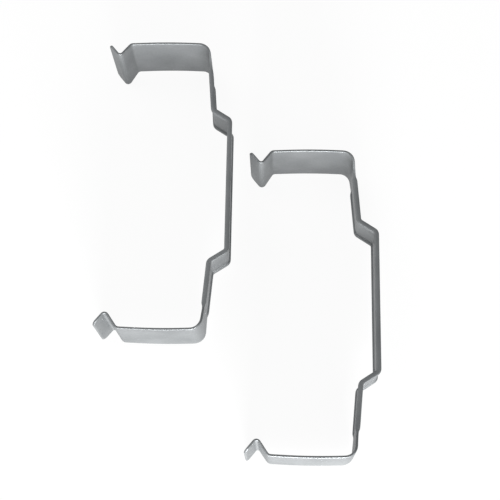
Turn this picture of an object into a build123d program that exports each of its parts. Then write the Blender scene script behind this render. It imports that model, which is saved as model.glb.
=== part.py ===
"""A set of two double-ended hand-held cheek retractors.

Each retractor is one stamped steel strip. It is bent to a C: a straight grip in the middle, a step
and a leg at each end of it, a flat blade across each end, and a hooked, flared lip on each blade.
The set lies on its long edges. X runs away from the blades, Y along the grip, and Z is the width
of the strips. The origin is on the resting plane, in the middle of the set's box.
"""
from build123d import *
import math
import os

# The strip's centre line, seen from above
overall_length = 150.0      # between the outer faces of the two blades
grip_length = 68.0          # straight middle of the handle
step_out = 8.4              # sideways offset between the grip and a leg
step_rise = 5.5             # length along Y that the offset takes
leg_lean = 4.6              # degrees that a leg leans towards the blades
blade_reach = 39.5          # from the outside of a leg to the start of the lip
blade_bow = 0.8             # outward bulge of the blade at its middle
lip_out = 5.2               # run of the lip's first, inward slope
lip_in = 8.4                # depth of the lip's crest below the blade
tip_out = 5.6               # run of the lip's second slope, to its tip
tip_back = 6.8              # height that the second slope climbs back

# Bends, as radii of the centre line
step_bend = 2.4
blade_bend = 5.5
bow_bend = 300.0
lip_bend = 2.4
crest_bend = 1.6

# The strip's section
sheet = 1.2                 # thickness of the blades, the lips and the handle's recessed panel
blade_width = 30.0
lip_width = 34.0
grip_width = 22.0
rim_height = 0.6            # how far a rim stands proud of the panel, on each face
rim_width = 2.8
rim_end = 13.0              # distance from a blade's outer face to the end of the rims
widening = 7.0              # length over which a leg widens to the blade
flare_bend = 12.0           # radius of the bends in a blade's or a leg's edge where it widens
tip_corner = 3.0            # rounding of the lip's corners
trim_corner = 0.5           # rounding where a trimming cut meets the blade's full width

# The second retractor's place beside the first
second_gap = 9.3            # clear space between the first grip's back and the second one's lips
second_drop = 58.0          # how far the second one lies towards -Y


def offset_points(points, distance):
    """Moves an open line of points sideways to its left, with mitred corners."""
    runs = [(b - a).normalized() for a, b in zip(points, points[1:])]
    lefts = [Vector(-run.Y, run.X) for run in runs]
    moved = [points[0] + lefts[0] * distance]
    for point, before, after in zip(points[1:-1], lefts, lefts[1:]):
        mitre = before + after
        moved.append(point + mitre * (2 * distance / mitre.dot(mitre)))
    moved.append(points[-1] + lefts[-1] * distance)
    return moved


def rounded_edges(points, radii):
    """Joins points with straight runs, and an arc of its own radius at each inner point."""
    edges = []
    start = points[0]
    for before, corner, after, radius in zip(points, points[1:], points[2:], radii):
        to_before = (before - corner).normalized()
        to_after = (after - corner).normalized()
        half = math.radians(to_before.get_angle(to_after)) / 2
        reach = radius / math.tan(half)
        bisector = (to_before + to_after).normalized()
        middle = corner + bisector * (radius / math.sin(half) - radius)
        edges.append(Edge.make_line(start, corner + to_before * reach))
        start = corner + to_after * reach
        edges.append(Edge.make_three_point_arc(corner + to_before * reach, middle, start))
    edges.append(Edge.make_line(start, points[-1]))
    return edges


def strip_face(points, radii, thickness):
    """The strip seen from above: the centre line thickened, with concentric bends."""
    sides = []
    for side in (1, -1):
        edge_points = offset_points(points, side * thickness / 2)
        edge_radii = []
        for before, corner, after, radius in zip(points, points[1:], points[2:], radii):
            turn = math.copysign(1, (corner - before).cross(after - corner).Z)
            edge_radii.append(radius - side * turn * thickness / 2)
        sides.append((edge_points, edge_radii))
    left, right = sides
    outline = rounded_edges(*left) + rounded_edges(*right)
    outline.append(Edge.make_line(left[0][0], right[0][0]))
    outline.append(Edge.make_line(left[0][-1], right[0][-1]))
    return Face(Wire.combine(outline)[0])


def mirrored(points):
    """The same points across the middle of the grip, in reverse order."""
    return [Vector(point.X, -point.Y) for point in reversed(points)]


# Upper half of the centre line, from the lip's tip to the grip; the grip's middle is at 0, 0
blade_y = (overall_length - sheet) / 2
step_end_y = grip_length / 2 + step_rise
corner_x = -step_out - (blade_y - step_end_y) * math.tan(math.radians(leg_lean))
lip_start_x = corner_x - blade_reach
crest_x = lip_start_x - lip_out
tip_x = crest_x - tip_out
upper_half = [
    Vector(tip_x, blade_y - lip_in + tip_back),
    Vector(crest_x, blade_y - lip_in),
    Vector(lip_start_x, blade_y - blade_bow),
    Vector((lip_start_x + corner_x) / 2, blade_y),
    Vector(corner_x, blade_y - blade_bow),
    Vector(-step_out, step_end_y),
    Vector(0, grip_length / 2),
]
upper_bends = [crest_bend, lip_bend, bow_bend, blade_bend, step_bend, step_bend]
centre_line = upper_half + mirrored(upper_half)
bends = upper_bends + upper_bends[::-1]

second_x = sheet / 2 + rim_height + second_gap - tip_x
second_y = -second_drop

# The rims follow the same line, from one leg to the other
rim_top_y = overall_length / 2 - rim_end
rim_top_x = -step_out - (rim_top_y - step_end_y) * math.tan(math.radians(leg_lean))
rim_half = [Vector(rim_top_x, rim_top_y)] + upper_half[5:]
rim_line = rim_half + mirrored(rim_half)
rim_bends = [step_bend] * 4


def bare_strip():
    """The bent strip before its edges are trimmed, as wide as the lips."""
    return extrude(strip_face(centre_line, bends, sheet), lip_width / 2, dir=(0, 0, 1), both=True)


def rims():
    """The raised rims along both long edges of the handle, proud of both faces."""
    proud = strip_face(rim_line, rim_bends, sheet + 2 * rim_height)
    height = grip_width / 2
    whole = extrude(proud, height, dir=(0, 0, 1), both=True)
    panel = extrude(proud, height - rim_width, dir=(0, 0, 1), both=True)
    return whole - panel


def flat_outline(points, bends):
    """A closed face through half an outline and its mirror image across the first axis."""
    half = rounded_edges(points, bends)
    other = [edge.mirror(Plane.XZ) for edge in half]
    return Face(Wire.combine(half + other)[0])


def blade_shape():
    """What the blades and lips are trimmed to, seen square on: parallel edges, then the flare."""
    far_x = rim_top_x + blade_reach
    outline = [
        Vector(far_x, 0),
        Vector(far_x, blade_width / 2),
        Vector(lip_start_x, blade_width / 2),
        Vector(crest_x, lip_width / 2),
        Vector(tip_x, lip_width / 2),
        Vector(tip_x, 0),
    ]
    face = flat_outline(outline, [trim_corner, flare_bend, trim_corner, tip_corner])
    return extrude(face.moved(Plane.XZ.location), overall_length, both=True)


def handle_trim():
    """What is cut from both long edges of the handle, so that it is narrower than the blades."""
    narrow_y = blade_y - blade_bend - widening
    wide_y = blade_y - blade_bend / 2
    outline = [
        Vector(-wide_y, lip_width),
        Vector(-wide_y, blade_width / 2),
        Vector(-narrow_y, grip_width / 2),
        Vector(narrow_y, grip_width / 2),
        Vector(wide_y, blade_width / 2),
        Vector(wide_y, lip_width),
    ]
    edges = rounded_edges(outline, [trim_corner, flare_bend, flare_bend, trim_corner])
    edges.append(Edge.make_line(outline[-1], outline[0]))
    upper = Face(Wire.combine(edges)[0])
    depth = blade_reach / 2
    cuts = [extrude(face.moved(Plane.YZ.location), depth, both=True)
            for face in (upper, upper.mirror(Plane.XZ))]
    return cuts[0] + cuts[1]


def retractor():
    """One retractor, with the middle of its grip at the origin."""
    return (bare_strip() & blade_shape()) - handle_trim() + rims()


# The set's box has its middle over the origin, and its lowest point on the resting plane
one = retractor()
box = one.bounding_box()
first_x = -(box.min.X + box.max.X + second_x) / 2
first_y = -(box.min.Y + box.max.Y + second_y) / 2
places = {
    "left_retractor": (first_x, first_y),
    "right_retractor": (first_x + second_x, first_y + second_y),
}

os.makedirs("parts", exist_ok=True)
for name, (x, y) in places.items():
    export_step(one.moved(Location((x, y, -box.min.Z))), f"parts/{name}.step")
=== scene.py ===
"""A set of two double-ended cheek retractors in satin stainless steel, lying on their long edges."""
import math

import bmesh
import bpy
from mathutils import Matrix, Vector


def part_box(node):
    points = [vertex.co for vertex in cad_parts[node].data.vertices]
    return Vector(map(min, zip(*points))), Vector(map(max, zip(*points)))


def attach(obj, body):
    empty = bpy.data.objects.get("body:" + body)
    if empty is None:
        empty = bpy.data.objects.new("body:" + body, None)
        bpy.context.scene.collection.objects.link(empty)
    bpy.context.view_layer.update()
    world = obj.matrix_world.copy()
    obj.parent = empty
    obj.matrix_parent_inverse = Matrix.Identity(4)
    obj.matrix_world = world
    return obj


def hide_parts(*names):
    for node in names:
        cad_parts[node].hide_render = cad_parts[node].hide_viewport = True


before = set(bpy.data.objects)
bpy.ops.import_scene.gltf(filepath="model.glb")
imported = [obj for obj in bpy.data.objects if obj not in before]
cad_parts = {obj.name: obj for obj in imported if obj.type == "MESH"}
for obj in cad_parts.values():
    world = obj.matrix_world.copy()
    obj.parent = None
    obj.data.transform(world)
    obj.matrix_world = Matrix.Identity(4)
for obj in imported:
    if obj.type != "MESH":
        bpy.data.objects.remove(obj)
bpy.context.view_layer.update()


# Retractors --------------------------------------------------------------------------------------
# Each one is a blank of stainless sheet, stamped with a raised rim along both edges of the handle.
# A press bends it to a stepped C, with a hooked and flared lip on each blade, and it is tumbled
# smooth. The sizes here are in millimetres, from the middle of a retractor's grip.
half_line = [
    Vector((-61.5, 72.8)),
    Vector((-55.9, 66.0)),
    Vector((-50.7, 73.6)),
    Vector((-30.95, 74.4)),
    Vector((-11.2, 73.6)),
    Vector((-8.4, 39.5)),
    Vector((0.0, 34.0)),
]
half_bends = [1.6, 2.4, 300.0, 5.5, 2.4, 2.4]
centre_line = half_line + [Vector((point.x, -point.y)) for point in reversed(half_line)]
bend_radii = half_bends + half_bends[::-1]
straight_step = 1.2
bend_step = math.radians(9)

sheet = 1.2
grip_half = 11.0
blade_half = 15.0
lip_half = 17.0
tip_round = 3.0
leg_x = -14.0               # the handle and its legs lie to the right of this
narrow_y = 61.5             # a leg is as narrow as the grip up to here
wide_y = 72.0               # and as wide as the blade from here
blade_x = -49.0             # the blade's edges start to flare here
flare = 8.0

# One side of the section, from an edge to the middle: the share of the half width, the share of
# the half thickness, and how proud the line stands, from 1 on a rim to below 0 in its groove
rim_width = 2.8
rim_height = 0.6
rim_y = 62.0
rim_ramp = 1.6
foot = 1 - rim_width / grip_half
half_section = [
    (1.0, 0.45, 1.0),
    (0.993, 0.85, 1.0),
    (0.972, 1.0, 1.0),
    (foot + 0.06, 1.0, 1.0),
    (foot + 0.03, 1.0, 0.85),
    (foot, 1.0, -0.1),
    (foot - 0.02, 1.0, -0.38),
    (foot - 0.07, 1.0, -0.38),
    (foot - 0.11, 1.0, 0.0),
    (0.3, 1.0, 0.0),
]
one_face = half_section + [(0.0, 1.0, 0.0)] + [(-a, b, p) for a, b, p in reversed(half_section)]
section = one_face + [(a, -b, p) for a, b, p in reversed(one_face)]


def smooth(value):
    """A smooth rise from 0 to 1 as value goes from 0 to 1."""
    value = min(1.0, max(0.0, value))
    return value * value * (3 - 2 * value)


def cut_backs():
    """How far each bend starts before its corner."""
    cuts = [0.0]
    for before, corner, after, radius in zip(centre_line, centre_line[1:], centre_line[2:], bend_radii):
        cuts.append(radius * math.tan((corner - before).angle(after - corner) / 2))
    return cuts + [0.0]


def half_width(place, to_tip):
    """Half the strip's width at a place on the centre line, a distance from the nearer tip."""
    half = blade_half
    half += (lip_half - blade_half) * smooth((blade_x - place.x) / flare)
    if place.x > leg_x:
        half -= (blade_half - grip_half) * smooth((wide_y - abs(place.y)) / (wide_y - narrow_y))
    if to_tip < tip_round:
        half -= tip_round - math.sqrt(tip_round**2 - (tip_round - to_tip) ** 2)
    return half


def sweep_strip():
    """Carries the section along the centre line with straight extrusions and turns."""
    mesh = bmesh.new()
    across = mesh.verts.layers.float.new("across")
    proud = mesh.verts.layers.float.new("proud")
    side = mesh.verts.layers.float.new("side")
    heading = (centre_line[1] - centre_line[0]).normalized()
    place = centre_line[0].copy()
    verts = []
    for a, b, p in section:
        normal = Vector((-heading.y, heading.x))
        spot = place + normal * (b * sheet / 2)
        vert = mesh.verts.new((spot.x, spot.y, a))
        vert[across], vert[side], vert[proud] = a, b, p
        verts.append(vert)
    end = mesh.faces.new(verts)
    rings = [(list(end.verts), place.copy(), heading.copy(), 0.0)]
    travelled = 0.0

    def grow(matrix, length):
        """Extrudes the strip's end by one step and keeps the new ring."""
        nonlocal end, place, heading, travelled
        last = end
        made = bmesh.ops.extrude_face_region(mesh, geom=[last])["geom"]
        end = [item for item in made if isinstance(item, bmesh.types.BMFace)][0]
        if len(rings) > 1:          # the first face stays, and closes the strip's other end
            bmesh.ops.delete(mesh, geom=[last], context="FACES_ONLY")
        bmesh.ops.transform(mesh, matrix=matrix, verts=end.verts)
        place = (matrix @ place.to_3d()).to_2d()
        heading = (matrix.to_3x3() @ heading.to_3d()).to_2d()
        travelled += length
        rings.append((list(end.verts), place.copy(), heading.copy(), travelled))

    cuts = cut_backs()
    for index, (start, stop) in enumerate(zip(centre_line, centre_line[1:])):
        run = stop - start
        length = run.length - cuts[index] - cuts[index + 1]
        steps = max(1, math.ceil(length / straight_step))
        for _ in range(steps):
            grow(Matrix.Translation((run.normalized() * (length / steps)).to_3d()), length / steps)
        if index == len(bend_radii):
            break
        following = centre_line[index + 2] - stop
        turn = math.atan2(run.cross(following), run.dot(following))
        radius = bend_radii[index]
        to_side = Vector((-heading.y, heading.x)) * math.copysign(radius, turn)
        centre = (place + to_side).to_3d()
        arc = radius * abs(turn)
        steps = max(2, math.ceil(abs(turn) / bend_step), math.ceil(arc / straight_step))
        about = Matrix.Translation(centre) @ Matrix.Rotation(turn / steps, 4, "Z")
        about = about @ Matrix.Translation(-centre)
        for _ in range(steps):
            grow(about, arc / steps)

    for ring, spot, along, distance in rings:
        half = half_width(spot, min(distance, travelled - distance))
        stamped = smooth((rim_y - abs(spot.y)) / rim_ramp) if spot.x > leg_x else 0.0
        normal = Vector((-along.y, along.x, 0))
        for vert in ring:
            vert.co.z = vert[across] * half
            vert.co += normal * (vert[side] * vert[proud] * rim_height * stamped)
    close_ends(mesh, rings)
    return mesh


def close_ends(mesh, rings):
    """Divides each end's face into strips, so that the subdivision stays even there."""
    for ring in (rings[0][0], rings[-1][0]):
        count = len(ring)
        for i in range(1, count // 2 - 1):
            bmesh.ops.connect_verts(mesh, verts=[ring[i], ring[count - 1 - i]])


MM = 0.001
grip_back = sheet / 2 + rim_height
strip_mesh = sweep_strip()
retractors = {}
for node in ("left_retractor", "right_retractor"):
    low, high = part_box(node)
    copy = strip_mesh.copy()
    grip = Vector((high[0] - grip_back * MM, (low[1] + high[1]) / 2, (low[2] + high[2]) / 2))
    bmesh.ops.transform(copy, matrix=Matrix.Translation(grip) @ Matrix.Scale(MM, 4), verts=copy.verts)
    bmesh.ops.recalc_face_normals(copy, faces=copy.faces)
    for face in copy.faces:
        face.smooth = True
    data = bpy.data.meshes.new(node + "_strip")
    copy.to_mesh(data)
    copy.free()
    piece = bpy.data.objects.new(node + "_strip", data)
    bpy.context.scene.collection.objects.link(piece)
    rounding = piece.modifiers.new("rounding", "SUBSURF")
    rounding.levels = 1
    rounding.render_levels = 1
    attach(piece, "root")
    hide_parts(node)
    retractors[node] = piece
strip_mesh.free()


# Satin steel -------------------------------------------------------------------------------------
# Tumbled stainless steel: a fine, even grain with no direction, faint clouds where the polish is
# uneven, and a slight waviness left by the tumbling.
def satin_steel():
    material = bpy.data.materials.new("satin_steel")
    material.use_nodes = True
    nodes, links = material.node_tree.nodes, material.node_tree.links
    shader = nodes["Principled BSDF"]
    shader.inputs["Metallic"].default_value = 0.8
    coords = nodes.new("ShaderNodeTexCoord")

    def noise(scale, detail):
        """Noise on the object's own coordinates, in metres."""
        texture = nodes.new("ShaderNodeTexNoise")
        texture.inputs["Scale"].default_value = scale
        texture.inputs["Detail"].default_value = detail
        links.new(coords.outputs["Object"], texture.inputs["Vector"])
        return texture.outputs["Fac"]

    def ramp(source, low, high, start, end):
        """Turns a noise into a colour between two greys."""
        element = nodes.new("ShaderNodeValToRGB")
        element.color_ramp.elements[0].position = start
        element.color_ramp.elements[1].position = end
        element.color_ramp.elements[0].color = (*low, 1)
        element.color_ramp.elements[1].color = (*high, 1)
        links.new(source, element.inputs["Fac"])
        return element.outputs["Color"]

    clouds = ramp(noise(60, 3), (0.15, 0.158, 0.163), (0.20, 0.209, 0.214), 0.3, 0.7)
    links.new(clouds, shader.inputs["Base Color"])
    links.new(ramp(noise(900, 4), (0.46,) * 3, (0.58,) * 3, 0.3, 0.7), shader.inputs["Roughness"])
    grain = nodes.new("ShaderNodeBump")
    grain.inputs["Strength"].default_value = 0.07
    grain.inputs["Distance"].default_value = 0.00005
    links.new(noise(2600, 5), grain.inputs["Height"])
    waves = nodes.new("ShaderNodeBump")
    waves.inputs["Strength"].default_value = 0.06
    waves.inputs["Distance"].default_value = 0.00004
    links.new(noise(260, 3), waves.inputs["Height"])
    links.new(grain.outputs["Normal"], waves.inputs["Normal"])
    links.new(waves.outputs["Normal"], shader.inputs["Normal"])
    return material


steel = satin_steel()
for piece in retractors.values():
    piece.data.materials.append(steel)


# Table and light ---------------------------------------------------------------------------------
# A plain white table and a softbox on each side. The table shows white to the camera and in the
# steel, and keeps a trace of the retractors' shadow.
def white_table():
    material = bpy.data.materials.new("white_table")
    material.use_nodes = True
    nodes, links = material.node_tree.nodes, material.node_tree.links
    shader = nodes["Principled BSDF"]
    shader.inputs["Base Color"].default_value = (0.9, 0.9, 0.9, 1)
    shader.inputs["Roughness"].default_value = 0.9
    shader.inputs["Specular IOR Level"].default_value = 0.0
    glow = nodes.new("ShaderNodeEmission")
    glow.inputs["Strength"].default_value = 1.0
    rays = nodes.new("ShaderNodeLightPath")
    seen = nodes.new("ShaderNodeMath")
    seen.operation = "MAXIMUM"
    part = nodes.new("ShaderNodeMath")
    part.operation = "MULTIPLY"
    part.inputs[1].default_value = 0.92
    mix = nodes.new("ShaderNodeMixShader")
    links.new(rays.outputs["Is Camera Ray"], seen.inputs[0])
    links.new(rays.outputs["Is Glossy Ray"], seen.inputs[1])
    links.new(seen.outputs[0], part.inputs[0])
    links.new(part.outputs[0], mix.inputs["Fac"])
    links.new(shader.outputs["BSDF"], mix.inputs[1])
    links.new(glow.outputs["Emission"], mix.inputs[2])
    links.new(mix.outputs["Shader"], nodes["Material Output"].inputs["Surface"])
    return material


table_mesh = bmesh.new()
bmesh.ops.create_grid(table_mesh, x_segments=1, y_segments=1, size=6.0)
table_data = bpy.data.meshes.new("table")
table_mesh.to_mesh(table_data)
table_mesh.free()
table = bpy.data.objects.new("table", table_data)
table_data.materials.append(white_table())
bpy.context.scene.collection.objects.link(table)

world = bpy.data.worlds.new("studio")
world.use_nodes = True
world.node_tree.nodes["Background"].inputs["Color"].default_value = (1, 1, 1, 1)
world.node_tree.nodes["Background"].inputs["Strength"].default_value = 0.55
bpy.context.scene.world = world


def softbox(name, place, size, power):
    """A square soft lamp that faces the middle of the set."""
    lamp = bpy.data.lights.new(name, "AREA")
    lamp.shape = "SQUARE"
    lamp.size = size
    lamp.energy = power
    box = bpy.data.objects.new(name, lamp)
    box.location = place
    box.rotation_euler = (-Vector(place)).to_track_quat("-Z", "Y").to_euler()
    bpy.context.scene.collection.objects.link(box)


softbox("key", (0.1, -0.85, 0.1), 0.3, 34)
softbox("fill", (-0.7, 0.5, 0.9), 0.8, 4)


# Camera ------------------------------------------------------------------------------------------
# High above the table, past the set's lower end, tilted back over the set and rolled very slightly.
# The lens is a long one, so both retractors fill the picture without much perspective.
camera_data = bpy.data.cameras.new("camera")
camera_data.sensor_width = 36
camera_data.lens = 79.2
camera = bpy.data.objects.new("camera", camera_data)
camera.location = (0.0214, -0.1624, 0.5308)
camera.rotation_euler = (math.radians(17.41), math.radians(1.49), math.radians(1.04))
bpy.context.scene.collection.objects.link(camera)
bpy.context.scene.camera = camera
bpy.context.scene.view_settings.view_transform = "Standard"
